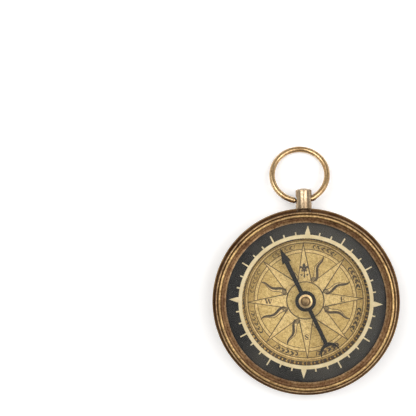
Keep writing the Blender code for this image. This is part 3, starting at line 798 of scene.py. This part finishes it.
rings = LineWork("rose_rings")
drawing = LineWork("rose_lines")
shading = LineWork("rose_shades")
lettering = LineWork("rose_letters")
print("four sets of lines begun")

# %% [markdown]
# ## Rays and flames
# Eight pale rays stand on a circle round the needle's hub, with a wavy flame between each two.
# Both are thin plates with drawn edges, the flame's right edge heavy with shade. The two
# flames that lie under the resting needle are printed faintly, so they don't thicken it.

# %% Rays and flames
HUB_CIRCLE = 5.14
RAY_TIPS = [15.8, 15.8, 16.0, 15.9, 16.1, 15.8, 16.1, 15.8]
RAY_ROOT, RAY_BASE = HUB_CIRCLE - 0.3, 1.98
PLATE_SINK, RAY_LIFT, FLAME_LIFT = 0.002, 0.022, 0.006
FLAME_START, FLAME_END, FLAME_HALF, FLAME_WAVE = 6.0, 13.15, 0.60, 0.55
FLAME_POINTS = 22
FAINT_FLAMES, FAINT_INK = (3, 7), 0.3
ROOT_LINES = 4

rays = bmesh.new()
for i, tip in enumerate(RAY_TIPS):
    left, point, right = (polar(RAY_ROOT, 45 * i, -RAY_BASE), polar(tip, 45 * i),
                          polar(RAY_ROOT, 45 * i, RAY_BASE))
    add_plate(rays, [left, point, right], CARD_TOP - PLATE_SINK, RAY_LIFT)
    drawing.line([(*left, 0.24), (*point, 0.22)])
    drawing.line([(*right, 0.34), (*point, 0.24)])


def flame_edge(i, t, side):
    """A point on a flame's edge: t runs from root to tip, side is -1 or 1."""
    radius = FLAME_START + (FLAME_END - FLAME_START) * t
    wave = FLAME_WAVE * math.sin(math.tau * (1.25 * t + 0.12)) * (0.45 + 0.55 * t)
    half = FLAME_HALF * (1 - t) ** 0.7
    return polar(radius, 45 * i + 22.5, wave + side * half)


def flame_shade(t):
    """The width of the shade along a flame's right edge."""
    return 0.18 + 0.66 * math.sin(math.pi * (0.15 + 0.8 * t)) * (1 - 0.45 * t)


steps = [k / FLAME_POINTS for k in range(FLAME_POINTS + 1)]
for i in range(8):
    ink = FAINT_INK if i in FAINT_FLAMES else 1.0
    right = [flame_edge(i, t, 1) for t in steps]
    left = [flame_edge(i, t, -1) for t in steps]
    add_plate(rays, right + left[-2::-1], CARD_TOP - PLATE_SINK, FLAME_LIFT)
    shading.line([(x, y, ink * flame_shade(t)) for (x, y), t in zip(right, steps)])
    drawing.line([(x, y, 0.2 * ink) for x, y in left])
    for k in range(ROOT_LINES):
        root = FLAME_START - 0.35 + 0.32 * k
        shading.line([(*polar(root, 45 * i + 22.5, -0.85 + 0.1 * k), 0.14 * ink),
                      (*polar(root + 0.3, 45 * i + 22.5, 0.75 - 0.1 * k), 0.26 * ink)])

bmesh.ops.recalc_face_normals(rays, faces=list(rays.faces))
add_piece("rose_rays", rays, ray_paper, "case")

# %% [markdown]
# ## Rings and scroll
# Two double circles close the rose. Between them runs a plain scroll of curls and leaves, in
# eight groups, an old way to fill the edge of a chart. The print is uneven: it is fullest at
# the lower right and thin at the upper left.

# %% Rings and scroll
CIRCLES = ((13.25, 0.17), (14.2, 0.22), (15.95, 0.26), (16.55, 0.14))
PAINTED_SHADOW_RING = 16.98
SCROLL_RADIUS, SCROLL_STEP, SCROLL_CURLS = 15.1, 5.2, 5
CURL_POINTS = 9
LEAF = [(0.18, 0.62, 0.12), (0.02, 0.25, 0.38), (-0.1, -0.1, 0.3), (0.0, -0.45, 0.1)]


def ink_weight(bearing):
    """How heavily the card is printed at a bearing."""
    return 0.72 + 0.28 * math.cos(math.radians(bearing - 125))


def curl_width(share):
    """A curl's width: it swells in the middle and ends in a drop."""
    return 0.14 + 0.36 * math.sin(math.pi * share) + 0.26 * share**4


drawing.circle(HUB_CIRCLE, 0.34)
for radius, width in CIRCLES:
    drawing.circle(radius, width, -RAY_LIFT)
# A thin dark ring at the rim is painted shadow of the scale ring's edge, widest at the upper left,
# where that shadow falls.
rings.line([(*polar(PAINTED_SHADOW_RING, 3 * k), 0.44 - 0.34 * ink_weight(3 * k)) for k in range(120)],
           closed=True)

curl = [(math.radians(50 + 34 * n), 0.64 - 0.05 * n, n / 8) for n in range(CURL_POINTS)]
for group in range(8):
    for k in range(SCROLL_CURLS):
        bearing = 45 * group + 22.5 + SCROLL_STEP * (k - 2)
        flip = 1 if k % 2 else -1
        weight = ink_weight(bearing)
        rings.line([(*polar(SCROLL_RADIUS + flip * reach * math.sin(a), bearing,
                            0.9 * reach * math.cos(a)), weight * curl_width(share))
                    for a, reach, share in curl])
        rings.line([(*polar(SCROLL_RADIUS - flip * up, bearing + SCROLL_STEP / 2, aside),
                     weight * width) for aside, up, width in LEAF])
print("circles and", 8 * SCROLL_CURLS, "curls drawn")

# %% [markdown]
# ## Border
# The rim has a border of small leaning knots with a thin wavy line through them. Each knot is
# a hooked stroke and a short slanting one.

# %% Border
BORDER_KNOTS = 48
KNOT_HOOK = [(17.08, -2.4, 0.3), (17.36, -1.5, 0.9), (17.30, -0.4, 0.8), (17.08, 0.5, 0.4)]
KNOT_STROKE = [(17.46, 1.6, 0.6), (17.18, 3.2, 0.95)]
WAVE_RADIUS, WAVE_DEPTH = 17.26, 0.12

for k in range(BORDER_KNOTS):
    bearing = 360 * k / BORDER_KNOTS
    weight = max(0.0, 1.75 * ink_weight(bearing) - 0.62)
    for stroke in (KNOT_HOOK, KNOT_STROKE):
        rings.line([(*polar(radius, bearing + on), weight * width) for radius, on, width in stroke])
rings.line([(*polar(WAVE_RADIUS + WAVE_DEPTH * math.sin(math.radians(45 * k)), 2 * k),
             0.10 + 0.08 * ink_weight(2 * k)) for k in range(180)], closed=True)
print(BORDER_KNOTS, "knots drawn")

# %% [markdown]
# ## Lily
# North carries a lily, as old roses do: one tall petal, two that curl outwards, a band, and a
# stem with small feet. Each part is one pen stroke that swells and thins.

# %% Lily
LILY = 8.9


def lily_line(points):
    """A line of the lily from (aside, up, width) points, about its band."""
    shading.line([(*polar(LILY + up, 0, aside), width) for aside, up, width in points])


lily_line([(0, 0.05, 0.34), (0, 0.45, 0.80), (0, 0.9, 0.86), (0, 1.25, 0.46), (0, 1.55, 0.08)])
for side in (-1, 1):
    lily_line([(side * 0.2, -0.1, 0.3), (side * 0.5, 0.22, 0.5), (side * 0.84, 0.42, 0.62),
               (side * 1.12, 0.22, 0.52), (side * 1.14, -0.06, 0.22)])
    lily_line([(side * 0.15, -0.45, 0.30), (side * 0.55, -0.72, 0.42), (side * 0.85, -0.6, 0.2)])
    lily_line([(side * 0.5, -1.75, 0.34), (side * 0.8, -1.85, 0.56), (side * 1.15, -1.7, 0.14)])
lily_line([(-0.7, -0.22, 0.34), (0.7, -0.22, 0.34)])
lily_line([(0, -0.2, 0.62), (0, -0.75, 0.5), (0, -1.2, 0.2), (0, -1.75, 0.3), (0, -2.2, 0.58),
           (0, -2.65, 0.08)])
print("lily drawn at", LILY, "mm")

# %% [markdown]
# ## Letters
# East, south and west carry their letters, upright on the card. A font would be one more thing
# to load, so each letter is a few strokes, thick and thin like an old book's.

# %% Letters
# The strokes of each letter, as (across, up, thickness) in letter heights
LETTERS = {
    "E": [[(-0.2, 0.5, 0.2), (-0.2, -0.5, 0.2)],
          [(-0.42, 0.5, 0.1), (0.4, 0.5, 0.1), (0.42, 0.24, 0.1)],
          [(-0.2, 0.02, 0.1), (0.22, 0.02, 0.1)], [(0.22, 0.15, 0.08), (0.22, -0.11, 0.08)],
          [(-0.42, -0.5, 0.1), (0.42, -0.5, 0.1), (0.46, -0.22, 0.1)]],
    "S": [[(0.30, 0.22, 0.08), (0.30, 0.5, 0.10)],
          [(0.28, 0.36, 0.10), (0.16, 0.49, 0.12), (-0.06, 0.51, 0.12), (-0.27, 0.38, 0.16),
           (-0.27, 0.18, 0.19), (-0.05, 0.04, 0.22), (0.2, -0.1, 0.22), (0.3, -0.28, 0.18),
           (0.16, -0.47, 0.13), (-0.08, -0.51, 0.11), (-0.3, -0.36, 0.10)],
          [(-0.32, -0.2, 0.08), (-0.32, -0.5, 0.10)]],
    "W": [[(-0.62, 0.5, 0.2), (-0.3, -0.5, 0.2)], [(-0.3, -0.5, 0.09), (0.02, 0.45, 0.09)],
          [(0.0, 0.5, 0.2), (0.32, -0.5, 0.2)], [(0.32, -0.5, 0.09), (0.64, 0.45, 0.09)],
          [(-0.84, 0.5, 0.09), (-0.4, 0.5, 0.09)], [(-0.2, 0.5, 0.09), (0.2, 0.5, 0.09)],
          [(0.46, 0.5, 0.09), (0.84, 0.5, 0.09)]],
}
LETTER_RADIUS = 10.2
LETTER_HEIGHT = 1.3
LETTER_WEIGHT = 1.35

for letter, bearing in (("E", 90), ("S", 180), ("W", 270)):
    at = Vector(polar(LETTER_RADIUS, bearing))
    for stroke in LETTERS[letter]:
        lettering.line([(at.x + x * LETTER_HEIGHT, at.y + y * LETTER_HEIGHT,
                         w * LETTER_HEIGHT * LETTER_WEIGHT) for x, y, w in stroke])
print("letters drawn", LETTER_HEIGHT, "mm high")

# %% [markdown]
# ## Laying the print
# Two pale bands lie between the circles. With them the card is complete, and the drawn lines
# become meshes and are laid on it: the rings lowest, the drawing on top of the pale rays.

# %% Bands and lines
INNER_BAND, OUTER_BAND = (13.42, 14.05), (16.06, 16.46)
BAND_RISE = 0.003

bands = bmesh.new()
for inner, outer in (INNER_BAND, OUTER_BAND):
    bands.from_mesh(as_mesh(flat_ring(inner, outer, CARD_TOP + BAND_RISE, CARD_TOP - PLATE_SINK)))
add_piece("rose_bands", bands, ray_paper, "case")
add_piece("rose_rings", rings.mesh(CARD_TOP + BAND_RISE), shade_ink, "case")
add_piece("rose_lines", drawing.mesh(CARD_TOP + RAY_LIFT), rose_ink, "case")
add_piece("rose_shades", shading.mesh(CARD_TOP + RAY_LIFT), shade_ink, "case")
add_piece("rose_letters", lettering.mesh(CARD_TOP + RAY_LIFT), shade_ink, "case")

# %% [markdown]
# ## Needle outline
# The needle is sawn and filed from sheet steel: a barbed head, a thin shaft, a ring for the
# cap and a crescent tail. It is drawn here pointing north, as arcs and straight lines. The
# tail lies between two arcs that meet at its horns.

# %% Needle outline
SHAFT, HEAD, HUB, CAP_HOLE = 0.55, 1.35, 2.85, 1.45
POINT, BARB, NECK = 16.15, 11.7, (0.66, 11.95)
HORN_X, HORN_Y = 2.6, 16.395
TAIL_ROOT, TAIL_THICKNESS = 12.795, 0.95


def arc(centre, radius, start, end, steps):
    """Points of an arc in mm, between two angles in degrees."""
    angles = [math.radians(start + (end - start) * k / steps) for k in range(steps + 1)]
    return [(centre[0] + radius * math.cos(a), centre[1] + radius * math.sin(a)) for a in angles]


def tail_centre(root):
    """How far below the hub an arc from the root to both horns has its centre."""
    return (HORN_Y**2 + HORN_X**2 - root**2) / (2 * (HORN_Y - root))


def crescent():
    """The tail from the shaft's right edge round to its left."""
    inner_root = TAIL_ROOT + TAIL_THICKNESS
    outer, inner = tail_centre(TAIL_ROOT), tail_centre(inner_root)
    join = 90 - math.degrees(math.asin(SHAFT / (outer - TAIL_ROOT)))
    outer_end = -math.degrees(math.atan2(HORN_Y - outer, HORN_X))
    inner_end = -math.degrees(math.atan2(HORN_Y - inner, HORN_X))
    right = arc((0, -outer), outer - TAIL_ROOT, join, outer_end, 24)
    inside = arc((0, -inner), inner - inner_root, inner_end, 180 - inner_end, 48)
    return right + inside[1:-1] + [(-x, y) for x, y in reversed(right)]


hub_side = math.degrees(math.acos(SHAFT / HUB))
right_side = [(HEAD, BARB), NECK] + arc((0, 0), HUB, hub_side, -hub_side, 60)
left_side = [(-x, y) for x, y in reversed(right_side)]
needle_outline = [(0, POINT)] + right_side + crescent() + left_side
cap_hole = arc((0, 0), CAP_HOLE, 0, 360, 72)[:-1]
print("needle outline has", len(needle_outline), "points")

# %% [markdown]
# ## Needle sheet
# A closed outline with a hole in it is what a flat, filled curve is good at, and the curve's
# own bevel breaks the edges of the sheet. The mesh that comes out is merged, because the
# curve leaves its fill and its edges apart.

# %% Needle sheet
NEEDLE_BOTTOM, NEEDLE_TOP = 5.6, 5.95
EDGE_BREAK = 0.05


def merged(mesh):
    """A mesh as a bmesh with its doubles merged and its faces turned outwards."""
    shape = bmesh.new()
    shape.from_mesh(mesh)
    bmesh.ops.remove_doubles(shape, verts=list(shape.verts), dist=MERGE)
    bmesh.ops.recalc_face_normals(shape, faces=list(shape.faces))
    return shape


needle_curve = bpy.data.curves.new("needle", "CURVE")
needle_curve.dimensions = "2D"
needle_curve.fill_mode = "BOTH"
needle_curve.extrude = ((NEEDLE_TOP - NEEDLE_BOTTOM) / 2 - EDGE_BREAK) * MM
needle_curve.bevel_depth = EDGE_BREAK * MM
needle_curve.bevel_resolution = 2
needle_curve.offset = -EDGE_BREAK * MM
for outline in (needle_outline, cap_hole):
    add_spline(needle_curve, [(x, y, 1.0) for x, y in outline], closed=True)
needle_mesh = final_mesh(add_object("draft", needle_curve))
needle_mesh.transform(placed((0, 0, (NEEDLE_BOTTOM + NEEDLE_TOP) / 2),
                             Matrix.Rotation(NEEDLE_TURN, 4, "Z")))
add_piece("arrow", merged(needle_mesh), needle_steel, "needle", ["needle"])

# %% [markdown]
# ## Cap
# A little brass cup is riveted through the needle's ring, and a jewel inside it rides on the
# point. From above it is a bright flange round a low dome.

# %% Cap
CUP, FLANGE, RIVET, CUP_BORE = 1.3, 1.9, 1.4, 1.1

cap_shape = turn([
    (0, 7.12, 0), (0.5, 7.09, 0), (CUP, 6.95, 0.35), (CUP, 6.32, 0.04), (FLANGE, 6.32, 0.08),
    (FLANGE, 6.0, 0.06), (RIVET, 6.0, 0.03), (RIVET, 5.4, 0.05), (CUP_BORE, 5.4, 0.03),
    (CUP_BORE, 6.77, 0.03), (0, 6.77, 0),
], COARSE_STEPS)
add_piece("cap", cap_shape, cap_brass, "needle", ["needle_cap"])

# %% [markdown]
# ## Knob
# The knob stands on a stem that runs through the case's wall. It is a plain turned barrel with
# a domed end, and the bow's wire passes a hole drilled across it. It is turned standing up,
# and then laid down along the pendant's axis, so its brass is told where that axis runs.

# %% Knob
KNOB_BOTTOM, KNOB_RADIUS, KNOB_LENGTH, KNOB_DOME, DOME_EDGE = 25.4, 2.2, 5.15, 0.5, 2.08
KNOB_STEPS = 144
STEM, STEM_END = 1.0, -4.37
BOW_AXIS, BOW_HOLE = 28.0, 1.1
LAY_BACK = (-math.pi / 2, 0, 0)
pendant_centre = (0, KNOB_BOTTOM * MM, PENDANT_LEVEL * MM)

dome_radius = (KNOB_RADIUS**2 + KNOB_DOME**2) / (2 * KNOB_DOME)
dome_half = math.degrees(math.asin(DOME_EDGE / dome_radius))
dome = arc((0.0, KNOB_LENGTH + KNOB_DOME - dome_radius), dome_radius, 90, 90 - dome_half, 12)
knob_corners = [(0.0, KNOB_LENGTH + KNOB_DOME, 0)] + [(r, z, 0) for r, z in dome[1:-1]]
knob_corners += [(KNOB_RADIUS, KNOB_LENGTH - 0.02, 0.12), (KNOB_RADIUS, 0, 0.14), (STEM, 0, 0.03),
                 (STEM, STEM_END, 0.1), (0, STEM_END, 0)]
knob_shape = laid(turn(knob_corners, KNOB_STEPS), placed((0, KNOB_BOTTOM, PENDANT_LEVEL), ALONG_Y))
hole_cutter = [(0, 3, 0), (BOW_HOLE, 3, 0), (BOW_HOLE, -3, 0), (0, -3, 0)]
knob_shape = drilled(knob_shape, hole_cutter, placed((0, BOW_AXIS, PENDANT_LEVEL), ALONG_X))
knob_brass = turned_brass("knob_brass", centre=pendant_centre, turn_back=LAY_BACK,
                          clean=(0.54, 0.415, 0.275), tarnish=(0.27, 0.18, 0.105),
                          smooth=0.25, rough=0.42)
add_piece("knob", knob_shape, knob_brass, "case", ["pendant_knob"])

# %% [markdown]
# ## Collar
# A dark collar sits between the knob and the case, in the seat that was cut for it. Its
# brass is the darkest of all, as painted shade under the knob.

# %% Collar
COLLAR_PLACE, COLLAR, COLLAR_HOLE, COLLAR_LENGTH = 24.5, 1.9, 1.1, 0.8
# The collar's near-black brass is painted shade: it stands for the shadow under the knob.
UNDER_KNOB_SHADE = (0.06, 0.03, 0.018)

collar_shape = turn([(COLLAR_HOLE, COLLAR_LENGTH, 0.05), (COLLAR, COLLAR_LENGTH, 0.15),
                     (COLLAR, 0, 0.15), (COLLAR_HOLE, 0, 0.05)], COARSE_STEPS)
collar_shade_brass = turned_brass("collar_shade_brass", centre=pendant_centre, turn_back=LAY_BACK,
                            clean=(0.2, 0.13, 0.07), tarnish=UNDER_KNOB_SHADE, smooth=0.35, rough=0.55)
add_piece("collar", laid(collar_shape, placed((0, COLLAR_PLACE, PENDANT_LEVEL), ALONG_Y)),
          collar_shade_brass, "case", ["pendant_collar"])

# %% [markdown]
# ## The bow's path
# The bow is a loop of round wire, pushed open to thread it through the knob and closed again,
# so its two ends meet inside the hole. Its path is a circle that leans a little, and runs
# nearly straight where it passes the knob. The ends are rounded by letting the wire's
# thickness fall away over the last few stops.

# %% Bow path
BOW_RADIUS, WIRE, BOW_LEAN = 7.59, 0.8, math.radians(7.5)
END_GAP = 0.4
END_STEPS, LOOP_STEPS = 6, 180
STRAIGHT_REACH, STRAIGHT_BLEND, STRAIGHT_SLOPE = 3.4, 1.4, 0.09

bow_centre_x = -BOW_RADIUS * math.sin(BOW_LEAN)
bow_centre_y = (math.sqrt(BOW_RADIUS**2 - (KNOB_RADIUS - bow_centre_x) ** 2) + BOW_RADIUS) / 2
mouth_x = -math.sqrt(KNOB_RADIUS**2 - BOW_HOLE**2)
left_end = math.asin((mouth_x - bow_centre_x) / BOW_RADIUS)
round_angle = WIRE / BOW_RADIUS
first = left_end + END_GAP / BOW_RADIUS + round_angle
last = left_end + math.tau - round_angle

ends = [(math.cos(a), math.sin(a))
        for a in (math.pi / 2 * (k + 0.5) / END_STEPS for k in range(END_STEPS))]
stops = [(first - round_angle * back, swell) for back, swell in ends]
stops += [(first + (last - first) * k / LOOP_STEPS, 1.0) for k in range(LOOP_STEPS + 1)]
stops += [(last + round_angle * back, swell) for back, swell in reversed(ends)]


def bow_point(angle):
    """A point of the wire's middle, from the knob's hole, in mm."""
    x = bow_centre_x + BOW_RADIUS * math.sin(angle)
    y = bow_centre_y - BOW_RADIUS * math.cos(angle)
    if y < BOW_RADIUS:
        near = min(1.0, max(0.0, (STRAIGHT_REACH - abs(x)) / STRAIGHT_BLEND))
        near = near * near * (3 - 2 * near)
        y += (STRAIGHT_SLOPE * x - y) * near
    return x, y


print("bow path has", len(stops), "stops")

# %% [markdown]
# ## Bow
# The wire itself is a curve along that path, with a round bevel. It is made flat, let down
# until it rests on whatever the compass lies on, and moved to the knob's hole.

# %% Bow
BOW_DROOP = math.radians(18.86)
BOW_ROUNDNESS = 10

bow_curve = wire_curve("bow", WIRE, BOW_ROUNDNESS)
add_spline(bow_curve, [(*bow_point(angle), swell) for angle, swell in stops])
bow_mesh = final_mesh(add_object("draft", bow_curve))
bow_mesh.transform(placed((0, BOW_AXIS, PENDANT_LEVEL), Matrix.Rotation(-BOW_DROOP, 4, "X")))
wire_brass = turned_brass("wire_brass", clean=(0.74, 0.53, 0.29), tarnish=(0.46, 0.28, 0.13),
                          spread=(0.40, 0.72), smooth=0.27, rough=0.42)
add_piece("bow_wire", merged(bow_mesh), wire_brass, "bow", ["bow"])

# %% [markdown]
# ## Hidden pieces
# The rest sits inside: the sprung ring under the crystal, the plate, the post with its point,
# the cap's jewel and the nut. Their solids are right as they are and only take a finish.

# %% Finishes for the solids that stay
def polished_ruby(name):
    """Red jewel, a little cloudy."""
    material, tree, shader, place = new_finish(name)
    cloud = add_noise(tree, place, 900, 3.0, 0.5)
    colour = mix_colours(tree, cloud, (0.42, 0.05, 0.04), (0.62, 0.12, 0.09))
    fill(tree, shader, {"Base Color": colour, "Roughness": 0.12})
    return material


STAYING = {
    "crystal_split_ring": inner_brass, "dial_plate": inner_brass, "pivot_post": inner_brass,
    "pivot_pin": pin_steel, "cap_jewel": polished_ruby("jewel_glass"), "pendant_nut": inner_brass,
}
for node, finish in STAYING.items():
    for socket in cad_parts[node].material_slots:
        socket.material = finish
    print(node, "takes", finish.name)
